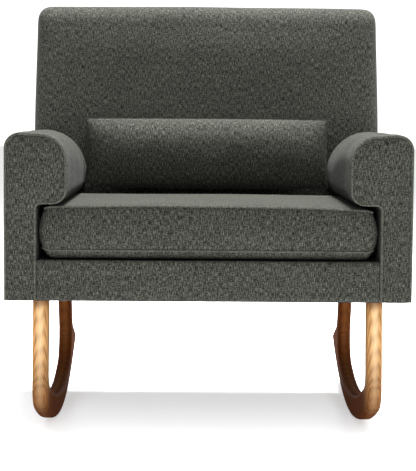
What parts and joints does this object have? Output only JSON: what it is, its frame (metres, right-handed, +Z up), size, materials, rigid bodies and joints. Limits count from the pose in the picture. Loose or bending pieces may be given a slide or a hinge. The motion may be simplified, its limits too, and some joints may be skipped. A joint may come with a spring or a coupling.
{
  "type": "rocking chair",
  "caption": "Upholstered rocking chair with padded roll arms, a loose boxed seat cushion, a lumbar pillow and continuous bent-wood rockers.",
  "frame": {"origin": "on the floor under the middle of the chair's bounding box, in the middle plane", "axes": "+Z up, the front of the chair faces -Y, +X is to the right when seen from the front"},
  "size_m": [0.8, 0.8, 0.908],
  "materials": {
    "bentwood": "gloss",
    "frame_hardwood": "matte",
    "plywood": "matte",
    "hardboard": "matte",
    "zinc_steel": "satin",
    "spring_steel": "satin",
    "foam": "matte",
    "felt": "matte",
    "deck_cloth": "matte",
    "dust_cloth": "matte",
    "upholstery": "matte",
    "piping": "matte",
    "zip_tape": "matte",
    "zip_metal": "satin"
  },
  "bodies": {
    "chair": {"back_bottom_rail": "frame_hardwood", "back_hardboard": "hardboard", "back_inside_cover": "upholstery", "back_lumbar_rail": "frame_hardwood", "back_outside_cover": "upholstery", "back_pad": "foam", "back_spring_clips": "zinc_steel", "back_springs": "spring_steel", "back_top_rail": "frame_hardwood", "deck_cloth": "deck_cloth", "deck_felt": "felt", "dust_cover": "dust_cloth", "dust_cover_staples": "zinc_steel", "front_border_cover": "upholstery", "front_border_pad": "foam", "front_seat_rail": "frame_hardwood", "glue_blocks": "frame_hardwood", "left_arm_cover": "upholstery", "left_arm_facing": "upholstery", "left_arm_front_board": "plywood", "left_arm_hardboard": "hardboard", "left_arm_inside_board": "plywood", "left_arm_outside_cover": "upholstery", "left_arm_pad": "foam", "left_arm_top_rail": "frame_hardwood", "left_arm_welt": "piping", "left_back_post": "plywood", "left_rocker": "bentwood", "left_side_rail": "frame_hardwood", "rear_seat_rail": "frame_hardwood", "right_arm_cover": "upholstery", "right_arm_facing": "upholstery", "right_arm_front_board": "plywood", "right_arm_hardboard": "hardboard", "right_arm_inside_board": "plywood", "right_arm_outside_cover": "upholstery", "right_arm_pad": "foam", "right_arm_top_rail": "frame_hardwood", "right_arm_welt": "piping", "right_back_post": "plywood", "right_rocker": "bentwood", "right_side_rail": "frame_hardwood", "rocker_bolts": "zinc_steel", "rocker_tee_nuts": "zinc_steel", "rocker_washers": "zinc_steel", "seat_spring_clips": "zinc_steel", "seat_springs": "spring_steel"},
    "seat_cushion": {"seat_cushion_foam": "foam", "seat_cushion_top_panel": "upholstery", "seat_cushion_bottom_panel": "upholstery", "seat_cushion_boxing": "upholstery", "seat_cushion_welts": "piping", "seat_cushion_zip": "zip_tape"},
    "zip_slider": {"seat_cushion_zip_slider": "zip_metal"},
    "lumbar_pillow": {"lumbar_pillow_fill": "foam", "lumbar_pillow_front_panel": "upholstery", "lumbar_pillow_rear_panel": "upholstery"}
  },
  "joints": [
    {"name": "seat_cushion_slide", "type": "slide", "parent": "chair", "child": "seat_cushion", "axis": [0, -1, 0], "range_m": [0, 0.53]},
    {"name": "lumbar_pillow_lift", "type": "slide", "parent": "chair", "child": "lumbar_pillow", "axis": [0, 0.2074, 0.9783], "range_m": [0, 0.3]},
    {"name": "cushion_zip", "type": "slide", "parent": "seat_cushion", "child": "zip_slider", "axis": [1, 0, 0], "range_m": [0, 0.52]}
  ]
}
